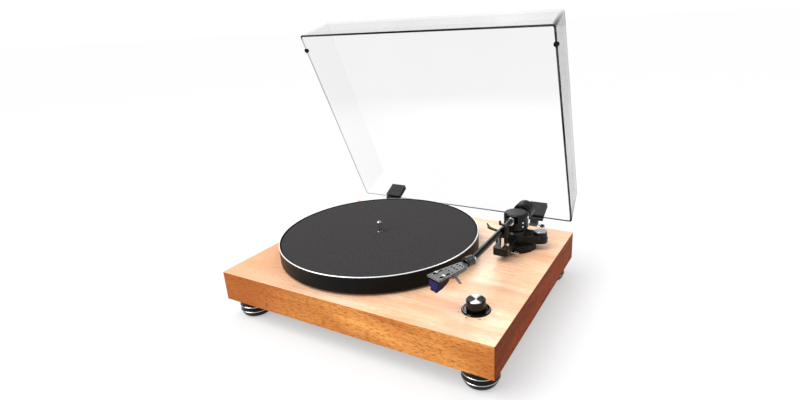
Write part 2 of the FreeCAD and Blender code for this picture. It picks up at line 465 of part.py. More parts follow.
latch = rod(1.9, (LATCH_X, REST_Y - 2, LATCH_Z), (LATCH_X, REST_Y + 2, LATCH_Z))
latch = latch.fuse(box(ax - 3.6, LATCH_X, REST_Y - 2, REST_Y + 2, LATCH_UNDER, LATCH_UNDER + 1.4))
finger = Part.Face(Part.makePolygon([V(ax - 3.6, REST_Y - 2, LATCH_UNDER),
                                     V(ax - 1.2, REST_Y - 2, LATCH_UNDER + 1.4),
                                     V(ax - 2.9, REST_Y - 2, 131.6), V(ax - 4.2, REST_Y - 2, 131.4),
                                     V(ax - 3.6, REST_Y - 2, LATCH_UNDER)])).extrude(V(0, 4, 0))
latch = latch.fuse(finger).cut(rod(0.8 + BORE_GAP, (LATCH_X, REST_Y - 5, LATCH_Z),
                                   (LATCH_X, REST_Y + 5, LATCH_Z)))
add("rest_latch", latch)

# ---- arm lift and cueing lever -----------------------------------------------------------
add("arm_posts", tube(3.6, 1.5 + BORE_GAP, (LIFT_X, LIFT_Y, LIFT_BODY_TOP), (LIFT_X, LIFT_Y, 96.5)))
add("lift_bar", rod(1.5, (LIFT_X, LIFT_Y, 84.5), (LIFT_X, LIFT_Y, LIFT_TOP - 2.4)))


def lift_sector(r0, r1, z0, z1):
    """Curved bar about the arm pivot, from just outside the tube to 30 degrees inwards."""
    ring = tube(r1, r0, (ax, ay, z0), (ax, ay, z1))
    a0, a1 = math.radians(-92 - 30), math.radians(-84)
    far = 3 * r1
    keep = prism_z([(ax, ay), (ax + far * math.cos(a0), ay + far * math.sin(a0)),
                    (ax + far * math.cos(a1), ay + far * math.sin(a1))], z0, z1)
    return ring.common(keep)


add("lift_bar", lift_sector(LIFT_R - 1.7, LIFT_R + 1.7, LIFT_TOP - 2.4, LIFT_TOP - 0.7))
add("lift_bar", lift_sector(LIFT_R - 1.2, LIFT_R + 1.2, LIFT_TOP - 0.7, LIFT_TOP))
lug = box(LEVER_X - 4, LEVER_X + 4, LEVER_Y - 4.4, LEVER_Y + 4.4, LIFT_BODY_TOP, LEVER_Z + 3.4)
lug = lug.cut(box(LEVER_X - 5, LEVER_X + 5, LEVER_Y - 2.3, LEVER_Y + 2.3, LIFT_BODY_TOP + 0.8, LEVER_Z + 5))
lug = lug.cut(rod(1.2 + FIT, (LEVER_X, LEVER_Y - 6, LEVER_Z), (LEVER_X, LEVER_Y + 6, LEVER_Z)))
add("arm_board", lug)
add("arm_pins", rod(1.2, (LEVER_X, LEVER_Y - 4.4, LEVER_Z), (LEVER_X, LEVER_Y + 4.4, LEVER_Z)))
LEVER_LINE = [(134.3, 97.2), (129.8, 101.0), (125.2, 103.8), (118.8, 105.6), (113.1, 108.2), (109.8, 112.6)]
upper = [V(x - 0.3, LEVER_Y - 2, z + 1.0) for x, z in LEVER_LINE]
lower = [V(x + 0.3, LEVER_Y - 2, z - 1.0) for x, z in reversed(LEVER_LINE)]
top_curve, low_curve = Part.BSplineCurve(), Part.BSplineCurve()
top_curve.interpolate(upper)
low_curve.interpolate(lower)
outline = Part.Wire([top_curve.toShape(), Part.makeLine(upper[-1], lower[0]), low_curve.toShape(),
                     Part.makeLine(lower[-1], upper[0])])
lever = Part.Face(outline).extrude(V(0, 4, 0))
lever = lever.fuse(rod(3.0, (LEVER_X, LEVER_Y - 2, LEVER_Z), (LEVER_X, LEVER_Y + 2, LEVER_Z)))
lever = lever.cut(rod(1.2 + BORE_GAP, (LEVER_X, LEVER_Y - 6, LEVER_Z), (LEVER_X, LEVER_Y + 6, LEVER_Z)))
add("cue_lever", lever)

# ---- anti-skating dial -------------------------------------------------------------------
add("arm_pins", rod(2.55, (SKATE_X, SKATE_Y, 83.1), (SKATE_X, SKATE_Y, 93)))
SKATE_Z0, SKATE_Z1 = 89.0, 97.4
dial = turned([(2.6 + BORE_GAP, SKATE_Z0), (SKATE_R - 0.4, SKATE_Z0), (SKATE_R, SKATE_Z0 + 0.4),
               (SKATE_R, SKATE_Z1),
               (0, SKATE_Z1), (0, 93.4), (2.6 + BORE_GAP, 93.4)], SKATE_X, SKATE_Y)
for groove in ring_array(lambda x, y: rod(0.45, (x, y, SKATE_Z0 - 1), (x, y, SKATE_Z1 + 1)), 24,
                         SKATE_R + 0.15,
                         SKATE_X, SKATE_Y):
    dial = dial.cut(groove)
add("skate_dial", dial)
add("skate_dial", turned([(0, SKATE_Z1), (SKATE_R - 0.8, SKATE_Z1), (SKATE_R - 0.8, SKATE_Z1 + 0.4),
                           (SKATE_R - 1.2, SKATE_Z1 + 0.8), (0, SKATE_Z1 + 0.8)], SKATE_X, SKATE_Y))

# ---- arm: turning housing on its upright shaft -------------------------------------------
inner = HOUSING_R - HOUSING_WALL
cup = turned([(0, HOUSING_Z0), (13.5, HOUSING_Z0), (14.5, 101.0), (HOUSING_R, 102.6),
              (HOUSING_R, HOUSING_Z1),
              (0, HOUSING_Z1)], ax, ay)
cup = soften(cup, HOUSING_DOME, at_height(HOUSING_Z1))
cup = cup.cut(rod(inner, (ax, ay, 105.0), (ax, ay, 123.6)))
cup = cup.cut(box(ax - 8.5, ax + 8.5, ay - 20, ay, 112.5, 123.6))
cup = cup.cut(box(ax - 8.0, ax + 8.0, ay, ay + 20, 105.5, 121.0))
cup = cup.cut(rod(2.2 + FIT, (ax - 20, ay, ARM_Z), (ax + 20, ay, ARM_Z)))
cup = cup.cut(rod(3.4 + FIT, (ax, ay, HOUSING_Z0 - 1), (ax, ay, HOUSING_Z0 + 5)))
add("arm_housing", cup)
add("arm_pivots", rod(YAW_R, (ax, ay, 60), (ax, ay, HOUSING_Z0)).fuse(
    rod(3.4, (ax, ay, HOUSING_Z0 - 1), (ax, ay, HOUSING_Z0 + 4.9))))
pivots = []
for s in (-1, 1):
    pin = rod(2.2, (ax + s * 6.4, ay, ARM_Z), (ax + s * (HOUSING_R + 0.5), ay, ARM_Z))
    pin = pin.fuse(rod(1.0, (ax + s * 3.6, ay, ARM_Z), (ax + s * 7.0, ay, ARM_Z)))
    pivots.append(pin.cut(box(ax + s * 18.2 - 0.7, ax + s * 18.2 + 0.7, ay - 3, ay + 3, ARM_Z - 0.4,
                              ARM_Z + 0.4)))
add("arm_pivots", *pivots)

# ---- arm: tilting part -------------------------------------------------------------------
block = box(ax - 6, ax + 6, ay - 7, ay + 9, 110.5, 121.6)
for s in (-1, 1):
    block = block.cut(rod(1.0 + BORE_GAP, (ax + s * 3.4, ay, ARM_Z), (ax + s * 7, ay, ARM_Z)))
add("pivot_block", block)
add("arm_fittings", rod(NECK_R, (ax, TUBE_REAR - 6, ARM_Z), (ax, ay - 7, ARM_Z)))
add("arm_fittings", tube(5.6, TUBE_R + FIT, (ax, TUBE_REAR - 4, ARM_Z), (ax, TUBE_REAR, ARM_Z)))
barrel = tube(TUBE_R, NECK_R + FIT, (ax, TUBE_REAR - 6, ARM_Z), (ax, TUBE_REAR, ARM_Z))
add("arm_tube", barrel.fuse(tube(TUBE_R, TUBE_BORE, (ax, TUBE_FRONT, ARM_Z),
                                 (ax, TUBE_REAR - 6, ARM_Z))).removeSplitter())
add("arm_fittings", rod(4.0, (ax, ay + 9, WEIGHT_Z), (ax, WEIGHT_Y1 + 12, WEIGHT_Z)))
heading, side = V(-math.sin(OFFSET), -math.cos(OFFSET), 0), V(math.cos(OFFSET), -math.sin(OFFSET), 0)


def head_point(s, t, z):
    """Point s along the headshell from the end of the tube, t to its right, at height z."""
    return V(HEAD_X, HEAD_Y, z) + heading * s + side * t


def head_prism(outline_st, z0, z1):
    pts = [head_point(s, t, z0) for s, t in outline_st]
    return Part.Face(Part.makePolygon(pts + [pts[0]])).extrude(V(0, 0, z1 - z0))


def head_profile(outline_sz, t0, t1):
    """Prism across the headshell from a side outline of (s, z) points."""
    pts = [head_point(s, t0, z) for s, z in outline_sz]
    return Part.Face(Part.makePolygon(pts + [pts[0]])).extrude(side * (t1 - t0))


def head_rod(r, s, t, z0, z1):
    return rod(r, tuple(head_point(s, t, z0)), tuple(head_point(s, t, z1)))


COLLAR_R, COLLAR_S0, COLLAR_S1, SOCKET_R = 6.6, 3.7, 14.0, 3.9
elbow = rod(TUBE_BORE - FIT, (ax, TUBE_FRONT, ARM_Z), (ax, TUBE_FRONT + 7, ARM_Z))
elbow = elbow.fuse(rod(TUBE_R, (ax, TUBE_FRONT - 3.2, ARM_Z), (ax, TUBE_FRONT, ARM_Z)))
elbow = elbow.fuse(rod(SOCKET_R, tuple(head_point(0.6, 0, ARM_Z)), tuple(head_point(9.5, 0, ARM_Z))))
add("arm_fittings", elbow)
collar = tube(COLLAR_R, SOCKET_R + 0.3, tuple(head_point(COLLAR_S0, 0, ARM_Z)),
              tuple(head_point(COLLAR_S1, 0, ARM_Z)))
for k in range(18):
    a = 2 * math.pi * k / 18
    off, up = (COLLAR_R + 0.25) * math.cos(a), (COLLAR_R + 0.25) * math.sin(a)
    collar = collar.cut(rod(0.6, tuple(head_point(COLLAR_S0 + 1.5, off, ARM_Z + up)),
                            tuple(head_point(COLLAR_S1 - 4.5, off, ARM_Z + up))))
add("locking_collar", collar)

PLATE_S0, PLATE_S1 = 15.0, 67.0
plate = head_prism([(PLATE_S0, -4.2), (PLATE_S0 + 2.5, -6.4), (44, -9.4), (PLATE_S1, -10.2),
                    (PLATE_S1, 10.2), (44, 9.4),
                    (PLATE_S0 + 2.5, 6.4), (PLATE_S0, 4.2)], PLATE_UNDER, PLATE_TOP)
for s, spread in ((24.5, 4.0), (33.5, 4.6), (42.5, 5.4)):
    for t in (-spread, 0, spread):
        plate = plate.cut(head_rod(1.5, s, t, 112, 120))
for t in (-6.35, 6.35):
    plate = plate.cut(head_prism([(48, t - 1.35), (60, t - 1.35), (60, t + 1.35), (48, t + 1.35)],
                                 112, 120))
    for s in (48.4, 60.2):
        plate = plate.cut(head_rod(2.0, s, t, 112, 120))
for s in (-1, 1):
    flange = head_prism([(19.0, s * 6.6), (19.2, s * 5.2), (44.5, s * 8.0), (44.5, s * 9.4)],
                        PLATE_UNDER - 3.2, PLATE_UNDER + 0.1)
    plate = plate.fuse(flange)
plug = rod(SOCKET_R, tuple(head_point(10.0, 0, ARM_Z)), tuple(head_point(15.5, 0, ARM_Z)))
plate = plate.fuse(plug).fuse(head_prism([(15.2, -3.8), (18.5, -3.8), (18.5, 3.8), (15.2, 3.8)],
                                         114.6, PLATE_UNDER + 0.1))
add("headshell", plate.removeSplitter())
lift_pts = [head_point(41.5, 9.3, 116.4), head_point(43.2, 15.0, 115.6), head_point(46.0, 22.0, 113.9),
            head_point(49.4, 28.8, 114.4)]
back_pts = [head_point(45.9, 9.5, 116.4), head_point(46.8, 14.6, 115.6), head_point(49.2, 20.8, 113.9),
            head_point(52.0, 27.4, 114.4)]
sheet = Part.makeRuledSurface(Part.BSplineCurve(lift_pts, None, None, False, 3).toShape(),
                              Part.BSplineCurve(back_pts, None, None, False, 3).toShape())
finger_lift = sheet.extrude(V(0, 0, 1.0))
add("finger_lift", finger_lift)

body_side = [(48.0, PLATE_UNDER - 0.02), (65.2, PLATE_UNDER - 0.02), (65.2, 108.6), (58.0, 107.4),
             (49.4, 109.6)]
add("cartridge_body", head_profile(body_side, -7.6, 7.6))
holder_side = [(65.25, 113.6), (66.6, 113.2), (68.0, 100.7), (66.6, 99.6), (58.6, 102.6),
               (50.6, 108.5), (49.4, 109.55),
               (58.0, 107.35), (65.25, 108.55)]
holder = head_profile(holder_side, -7.4, 7.4)
for s in (-1, 1):
    wedge = head_prism([(48, s * 9), (70, s * 9), (70, s * 4.4), (62, s * 5.4), (48, s * 8.2)], 98, 112)
    lower_half = head_profile([(47, 106.9), (70, 104.6), (70, 97), (47, 97)], -10, 10)
    holder = holder.cut(wedge.common(lower_half))
holder = holder.cut(head_profile([(62.4, 98), (69, 98), (69, 103.2), (62.4, 101.9)], -1.3, 1.3))
add("stylus_holder", holder)
add("cantilever", rod(0.35, tuple(head_point(62.45, 0, 101.4)), tuple(head_point(66.4, 0, 100.0))))
add("cantilever", Part.makeCone(0.3, 0.06, 0.7, head_point(66.2, 0, 99.95), V(0, 0, -1)))
screws = []
for t in (-6.35, 6.35):
    shank = head_rod(1.2, 56.5, t, PLATE_UNDER, PLATE_TOP + 0.05)
    head_piece = head_rod(2.2, 56.5, t, PLATE_TOP, PLATE_TOP + 1.4)
    screws.append(shank.fuse(head_piece).cut(head_prism([(54, t - 0.35), (59, t - 0.35),
                                                         (59, t + 0.35), (54, t + 0.35)],
                                                        PLATE_TOP + 0.8, PLATE_TOP + 2)))
add("cartridge_screws", *screws)
LEAD_R = 0.5
lead_ends = [(-2.6, -4.2, 112.8), (-0.9, -1.4, 110.9), (0.9, 1.4, 110.9), (2.6, 4.2, 112.8)]
for t0, t1, z1 in lead_ends:
    add("lead_wires", sweep([head_point(18.6, t0, 115.2), head_point(23, t0 * 1.2, 113.4),
                             head_point(33, t1, 108.6),
                       head_point(42, t1 * 1.1, 108.9), head_point(48.3, t1, z1)], LEAD_R))

# ---- counterweight, its carrier and force dial -------------------------------------------
CARRIER_R = 8.0
wy = (ax, WEIGHT_Z)
add("weight_carrier", tube(CARRIER_R, 4.0 + BORE_GAP, (ax, DIAL_Y0 - 0.4, WEIGHT_Z),
                           (ax, WEIGHT_Y1 - 1.0, WEIGHT_Z)))
weight = tube(WEIGHT_R, CARRIER_R + BORE_GAP, (ax, WEIGHT_Y0, WEIGHT_Z), (ax, WEIGHT_Y1, WEIGHT_Z))
for y in (WEIGHT_Y0 + 4.6, WEIGHT_Y0 + 7.2, WEIGHT_Y0 + 9.8):
    weight = weight.cut(tube(WEIGHT_R + 1, WEIGHT_R - 0.6, (ax, y, WEIGHT_Z), (ax, y + 1.0, WEIGHT_Z)))
weight = weight.makeChamfer(0.8, [e for e in weight.Edges if abs(e.Length - 2 * math.pi * WEIGHT_R) < 0.5
                                  and (abs(e.BoundBox.YMin - WEIGHT_Y0) < 1e-3 or abs(e.BoundBox.YMin - WEIGHT_Y1) < 1e-3)])
add("counterweight", weight)
add("force_dial", tube(DIAL_R, CARRIER_R + BORE_GAP, (ax, DIAL_Y0, WEIGHT_Z), (ax, DIAL_Y1, WEIGHT_Z)))

# ---- hinges: bracket on the plinth, pin, springs -----------------------------------------
brackets, pins, springs, bracket_screws = [], [], [], []
EAR_T, EAR_R = 4.6, 6.0
for s in (-1, 1):
    x0, x1 = s * HINGE_X - HINGE_W / 2, s * HINGE_X + HINGE_W / 2
    piece = box(x0, x1, BACK, BACK + 3, PLINTH_Z + 6, 62.0)
    for e0 in (x0, x1 - EAR_T):
        ear = prism_x([(BACK, PLINTH_Z + 10), (BACK + 3, PLINTH_Z + 10), (HINGE_Y + 5.0, HINGE_Z - 4),
                       (HINGE_Y, HINGE_Z),
                       (HINGE_Y - 4.2, HINGE_Z + 4.2), (BACK + 3, 62.0), (BACK, 62.0)], e0, e0 + EAR_T)
        piece = piece.fuse(ear).fuse(rod(EAR_R, (e0, HINGE_Y, HINGE_Z), (e0 + EAR_T, HINGE_Y, HINGE_Z)))
    piece = piece.cut(rod(2.0 + FIT, (x0 - 1, HINGE_Y, HINGE_Z), (x1 + 1, HINGE_Y, HINGE_Z)))
    for dx in (-BRACKET_SCREW_DX, BRACKET_SCREW_DX):
        for z in hinge_screw_z:
            piece = piece.cut(rod(2.0, (s * HINGE_X + dx, BACK - 1, z), (s * HINGE_X + dx, BACK + 4, z)))
            bracket_screws.append(back_screw(s * HINGE_X + dx, z, 14, 1.8, 3.4, 1.6, BACK + 3))
    brackets.append(piece.removeSplitter())
    pins.append(rod(2.0, (x0, HINGE_Y, HINGE_Z), (x1, HINGE_Y, HINGE_Z)))
    for side_sign in (-1, 1):
        xs = s * HINGE_X + side_sign * 9.6
        for k in range(3):
            xk = xs - 1.9 + 1.9 * k
            springs.append(Part.makeTorus(4.0, 0.85, V(xk, HINGE_Y, HINGE_Z), V(1, 0, 0)))
add("hinge_brackets", *brackets)
add("hinge_pins", *pins)
add("hinge_pins", *springs)
add("case_screws", *bracket_screws)

# ---- dust cover: moulded closed, then swung open -----------------------------------------
def swung(shape):
    shape.rotate(V(0, HINGE_Y, HINGE_Z), V(1, 0, 0), -LID_OPEN)
    return shape


def shell_block(inset, z0, z1):
    """Tapered block: the rim outline at z0 drawn in by the draft at z1, both moved in by inset."""
    def outline(z):
        k = (z - LID_Z) / LID_H
        hx = LID_W / 2 - inset - DRAFT_SIDE * k
        y0, y1 = LID_FRONT + inset + DRAFT_FRONT * k, LID_FRONT + LID_D - inset - DRAFT_REAR * k
        r = max(5.0 - inset, 1.5)
        face = rounded_box(-hx, hx, y0, y1, z, z + 1, r)
        flat = min(face.Faces, key=lambda f: f.CenterOfMass.z)
        return flat.OuterWire
    return Part.makeLoft([outline(z0), outline(z1)], True, True)


lid = shell_block(0, LID_Z, LID_Z + LID_H)
lid = soften(lid, 2.5, at_height(LID_Z + LID_H))
lid = lid.cut(shell_block(LID_T, LID_Z - 0.5, LID_Z + LID_H - LID_T))
rear0 = LID_FRONT + LID_D


def rear_y(z):
    """Outer face of the cover's back wall at height z."""
    return rear0 - DRAFT_REAR * (z - LID_Z) / LID_H


clamp_top = LID_Z + LEAF_H
clamp_z = (LID_Z + 9.0, LID_Z + 22.0)
pad_z0 = LID_Z + 0.4
leaf_pieces, inner_pieces, clamp_screws = [], [], []
for s in (-1, 1):
    x0, x1 = s * HINGE_X - LEAF_W / 2, s * HINGE_X + LEAF_W / 2
    outer = prism_x([(rear_y(LID_Z) + FIT, LID_Z), (rear_y(clamp_top) + FIT, clamp_top),
                     (rear_y(clamp_top) + 2.8, clamp_top - 0.6), (rear_y(LID_Z) + 3.2, LID_Z)], x0, x1)
    web = prism_x([(rear0 + FIT, LID_Z + 0.01), (rear0 + 0.6, LID_Z - 3.4), (HINGE_Y - 6.5, 64.5),
                   (HINGE_Y - 4.8, 60.0),
                   (HINGE_Y, 58.0), (HINGE_Y + 4.8, 61.5), (HINGE_Y + 4.4, 66.8), (rear0 + 3.2, LID_Z + 9)],
                  s * HINGE_X - 6.0, s * HINGE_X + 6.0)
    foot_bar = prism_x([(rear0 + FIT, LID_Z + 0.01), (rear0 + 0.6, LID_Z - 3.0), (rear0 + 4.4, LID_Z - 3.4),
                        (rear0 + 5.0, LID_Z + 2.5), (rear0 + 3.0, LID_Z + 4)], x0, x1)
    leaf = outer.fuse(web).fuse(foot_bar)
    leaf = leaf.cut(rod(2.0 + BORE_GAP, (x0 - 1, HINGE_Y, HINGE_Z), (x1 + 1, HINGE_Y, HINGE_Z)))
    wall_low, wall_high = rear_y(pad_z0) - LID_T, rear_y(clamp_top) - LID_T
    pad_in = prism_x([(wall_low - FIT, pad_z0), (wall_high - FIT, clamp_top), (wall_high - 2.0, clamp_top),
                      (wall_low - 2.2, pad_z0)], x0, x1)
    for dx in (-CLAMP_SCREW_DX, CLAMP_SCREW_DX):
        for z in clamp_z:
            x = s * HINGE_X + dx
            through = rod(1.6, (x, BACK - 20, z), (x, BACK + 20, z))
            lid, leaf = lid.cut(through), leaf.cut(through)
            pad_in = pad_in.cut(rod(1.6, (x, rear_y(z) - LID_T - 1.4, z), (x, BACK + 20, z)))
            clamp_screws.append(back_screw(x, z, 7.0, 1.5, 2.9, 1.3, rear_y(z) + 3.25))
    leaf_pieces.append(swung(leaf.removeSplitter()))
    inner_pieces.append(swung(pad_in))
add("dust_cover", swung(lid))
add("hinge_leaves", *leaf_pieces)
add("hinge_leaves", *inner_pieces)
add("clamp_screws", *[swung(s) for s in clamp_screws])
BUFFER_R, BUFFER_Y, BUFFER_GRIP = 3.5, LID_FRONT + 26.0, 1.4
buffers = []
for s in (-1, 1):
    x = s * (LID_W - LID_T) / 2
    knob = rod(BUFFER_R, (x, BUFFER_Y, LID_Z - 1.3), (x, BUFFER_Y, LID_Z + BUFFER_GRIP))
    x0, x1 = x - LID_T / 2 - 0.45, x + LID_T / 2 + 0.45
    buffers.append(swung(knob.cut(box(x0, x1, BUFFER_Y - BUFFER_R - 1, BUFFER_Y + BUFFER_R + 1, LID_Z,
                                      LID_Z + 9))))
add("lid_buffers", *buffers)

# ---- one STEP file for each node ---------------------------------------------------------
for node, solids in pieces.items():
    Part.makeCompound(solids).exportStep("parts/" + node + ".step")
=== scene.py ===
import math

import bmesh
import bpy
from mathutils import Matrix, Vector, noise


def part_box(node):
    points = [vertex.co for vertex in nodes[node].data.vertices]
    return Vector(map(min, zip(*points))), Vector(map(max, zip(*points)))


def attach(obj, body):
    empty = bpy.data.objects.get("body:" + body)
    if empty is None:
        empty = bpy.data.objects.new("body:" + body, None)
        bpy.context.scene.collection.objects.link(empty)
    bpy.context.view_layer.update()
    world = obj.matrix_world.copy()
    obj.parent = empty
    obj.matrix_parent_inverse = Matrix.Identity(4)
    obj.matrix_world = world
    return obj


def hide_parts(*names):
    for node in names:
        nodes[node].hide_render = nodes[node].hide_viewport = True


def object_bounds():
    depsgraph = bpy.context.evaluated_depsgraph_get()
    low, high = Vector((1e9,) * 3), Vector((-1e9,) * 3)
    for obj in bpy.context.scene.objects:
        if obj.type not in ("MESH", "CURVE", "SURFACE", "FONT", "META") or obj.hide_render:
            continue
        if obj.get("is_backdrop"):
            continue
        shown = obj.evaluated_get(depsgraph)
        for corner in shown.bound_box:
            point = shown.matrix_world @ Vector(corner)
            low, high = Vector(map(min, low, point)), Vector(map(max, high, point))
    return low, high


# Looks of a belt-drive record player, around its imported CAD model. Metres; +X right, +Y back, +Z up.

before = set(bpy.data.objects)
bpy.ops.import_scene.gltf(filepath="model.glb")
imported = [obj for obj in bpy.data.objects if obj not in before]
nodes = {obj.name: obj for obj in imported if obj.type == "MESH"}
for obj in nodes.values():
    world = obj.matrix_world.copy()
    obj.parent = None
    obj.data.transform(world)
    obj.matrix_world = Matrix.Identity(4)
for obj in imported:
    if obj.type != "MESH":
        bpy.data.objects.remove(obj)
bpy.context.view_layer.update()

# ---- camera: in front and to the right of the object, at the height of the open cover's top ----------
AZIMUTH, ELEVATION, ROLL = math.radians(30.58), math.radians(19.33), math.radians(-3.08)
CAMERA_AT = Vector((0.3748, -0.5875, 0.3942))
SENSOR_MM, LENS_MM = 36, 22.85
SHIFT_X, SHIFT_Y = -0.0238, 0.001
CLIP_NEAR, CLIP_FAR = 0.02, 60

back = Vector((math.sin(AZIMUTH) * math.cos(ELEVATION), -math.cos(AZIMUTH) * math.cos(ELEVATION),
               math.sin(ELEVATION)))
level = Vector((math.cos(AZIMUTH), math.sin(AZIMUTH), 0))
upward = back.cross(level)
right = level * math.cos(ROLL) + upward * math.sin(ROLL)
up = upward * math.cos(ROLL) - level * math.sin(ROLL)
camera = bpy.data.objects.new("camera", bpy.data.cameras.new("camera"))
bpy.context.scene.collection.objects.link(camera)
camera.matrix_world = Matrix.Translation(CAMERA_AT) @ Matrix((right, up, back)).transposed().to_4x4()
camera.data.sensor_width, camera.data.lens = SENSOR_MM, LENS_MM
camera.data.shift_x, camera.data.shift_y = SHIFT_X, SHIFT_Y
camera.data.clip_start, camera.data.clip_end = CLIP_NEAR, CLIP_FAR
bpy.context.scene.camera = camera
bpy.context.scene.view_settings.view_transform = "Standard"


# ---- helpers -----------------------------------------------------------------------------------------
def middle(node):
    """Centre of a node's box."""
    low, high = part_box(node)
    return (Vector(low) + Vector(high)) / 2


def around(angle):
    """Level unit vector at an angle from +X."""
    return Vector((math.cos(angle), math.sin(angle), 0))


def scaled(colour, factor):
    """A colour made darker or lighter, none of its parts over 1."""
    return tuple(min(1, part * factor) for part in colour)


def new_piece(name, mesh):
    piece = bpy.data.objects.new(name, mesh)
    bpy.context.scene.collection.objects.link(piece)
    return piece


def lathe(name, profile, centre, steps):
    """Piece turned about an upright axis through centre from (radius, height) points."""
    bm = bmesh.new()
    rings = []
    for radius, height in profile:
        count = steps if radius > 0 else 1
        spots = [around(2 * math.pi * k / steps) * radius for k in range(count)]
        rings.append([bm.verts.new((centre[0] + spot.x, centre[1] + spot.y, height)) for spot in spots])
    for first, second in zip(rings, rings[1:]):
        for k in range(steps):
            n = (k + 1) % steps
            corners = [first[k % len(first)], first[n % len(first)], second[n % len(second)],
                       second[k % len(second)]]
            bm.faces.new(list(dict.fromkeys(corners)))
    bmesh.ops.recalc_face_normals(bm, faces=bm.faces)
    mesh = bpy.data.meshes.new(name)
    bm.to_mesh(mesh)
    bm.free()
    return new_piece(name, mesh)


class Shader:
    """A material's node tree with one Principled shader, and short calls that add nodes to it."""

    def __init__(self, name):
        self.material = bpy.data.materials.new(name)
        self.material.use_nodes = True
        self.tree = self.material.node_tree
        self.shader = self.tree.nodes["Principled BSDF"]
        self.place = self.tree.nodes.new("ShaderNodeTexCoord").outputs["Object"]

    def feed(self, socket, value):
        """Links a node's output to a socket, or sets the socket to a plain value."""
        if isinstance(value, bpy.types.NodeSocket):
            self.tree.links.new(value, socket)
        else:
            socket.default_value = value

    def set(self, **values):
        for key, value in values.items():
            self.feed(self.shader.inputs[key.replace("_", " ")], value)

    def node(self, kind, inputs=None, **settings):
        new = self.tree.nodes.new(kind)
        for key, value in settings.items():
            setattr(new, key, value)
        for key, value in (inputs or {}).items():
            self.feed(new.inputs[key], value)
        return new

    def stretched(self, scale, at):
        return self.node("ShaderNodeMapping", {"Vector": self.place, "Scale": scale,
                                               "Location": at}).outputs["Vector"]

    def noise(self, scale, where=None, detail=4.0, rough=0.55, warp=0.0):
        return self.node("ShaderNodeTexNoise", {"Vector": where or self.place, "Scale": scale,
                                                "Detail": detail, "Roughness": rough,
                                                "Distortion": warp}).outputs["Fac"]

    def fit(self, value, low, high, out_low=0.0, out_high=1.0):
        """Maps low..high to out_low..out_high, held at the ends."""
        return self.node("ShaderNodeMapRange", {"Value": value, "From Min": low, "From Max": high,
                                                "To Min": out_low, "To Max": out_high}).outputs["Result"]

    def math(self, operation, a, b=0.0):
        return self.node("ShaderNodeMath", {0: a, 1: b}, operation=operation).outputs[0]

    def vector(self, operation, a, b=(0, 0, 0)):
        return self.node("ShaderNodeVectorMath", {0: a, 1: b}, operation=operation).outputs

    def apart(self, vector):
        return self.node("ShaderNodeSeparateXYZ", {0: vector}).outputs

    def mix(self, factor, a, b):
        """Colour a where the factor is 0, colour b where it is 1."""
        new = self.node("ShaderNodeMix", {"Factor": factor}, data_type="RGBA")
        for socket, value in zip(new.inputs[6:8], (a, b)):
            self.feed(socket, (*value, 1) if isinstance(value, tuple) else value)
        return new.outputs[2]

    def bump(self, height, strength, distance):
        return self.node("ShaderNodeBump", {"Height": height, "Strength": strength,
                                            "Distance": distance}).outputs["Normal"]

    def radius(self, centre):
        """Distance from an upright axis through centre."""
        flat = self.vector("MULTIPLY", self.vector("SUBTRACT", self.place, centre)["Vector"], (1, 1, 0))
        return self.vector("LENGTH", flat["Vector"])["Value"]

    def edges(self, width):
        """1 near sharp edges, 0 on open faces."""
        rounded = self.node("ShaderNodeBevel", {"Radius": width}, samples=4).outputs["Normal"]
        flat = self.node("ShaderNodeNewGeometry").outputs["Normal"]
        return self.fit(self.vector("DOT_PRODUCT", rounded, flat)["Value"], 1.0, 0.8)


FACING = 0.7                          # a face looks the way in which its unit normal reaches past this


def dress(node, *materials, pick=None):
    """Gives a CAD node its materials; pick(centre, normal) returns the slot of a face."""
    mesh = nodes[node].data
    mesh.materials.clear()
    for material in materials:
        mesh.materials.append(material)
    for face in mesh.polygons:
        face.material_index = pick(face.center, face.normal) if pick else 0


# ---- kinds of material -------------------------------------------------------------------------------
DEEP_X, PALE_X = -0.17, 0.02          # the veneer deepens in tone from PALE_X to DEEP_X, at the left end


def veneer(name, light, dark, red, along="X", seed=0.0, rough=0.5, pores=0.8, coat=0.0, spec=0.06):
    """Straight-grained open-pored veneer; the grain runs along X or Y."""
    s = Shader(name)

    def grain(ratio, at):
        """Object space squeezed across the grain, so that what is drawn in it lies along the grain."""
        return s.stretched((1.0, ratio, ratio) if along == "X" else (ratio, 1.0, ratio), at)

    figure = grain(4.5, (seed, seed * 2, seed * 3))
    broad = s.noise(3.4, figure, detail=3, rough=0.5, warp=0.9)
    patch = s.noise(6.0, figure, detail=2, rough=0.4, warp=0.5)
    fine = s.noise(13, grain(18, (seed * 2, seed, 0)), detail=7, rough=0.62, warp=0.25)
    flecks = s.noise(130, grain(7, (seed * 5, 0, seed)), detail=3, rough=0.6, warp=0.3)
    leftward = s.fit(s.apart(s.place)["X"], DEEP_X, PALE_X, 1.0, 0.0)
    deepening = s.math("MULTIPLY", leftward, s.fit(broad, 0.7, 0.3, 0.7, 1.0))
    pore = s.fit(flecks, 0.50, 0.64, 0, pores)

    tone = s.mix(s.fit(broad, 0.32, 0.66), dark, light)
    tone = s.mix(s.fit(patch, 0.50, 0.72, 0, 0.6), tone, red)
    tone = s.mix(deepening, tone, tuple((a + b) / 2 for a, b in zip(dark, red)))
    tone = s.mix(s.fit(fine, 0.45, 0.75, 0, 0.5), tone, scaled(dark, 0.7))
    tone = s.mix(pore, tone, scaled(dark, 0.42))
    height = s.math("SUBTRACT", s.fit(fine, 0, 1, 0, 0.4), pore)
    s.set(Base_Color=tone, Roughness=s.fit(fine, 0.3, 0.8, rough - 0.08, rough + 0.1))
    s.set(Coat_Weight=coat, Coat_Roughness=0.25, Specular_IOR_Level=spec)
    s.set(Normal=s.bump(height, 0.3, 0.0002))
    return s.material


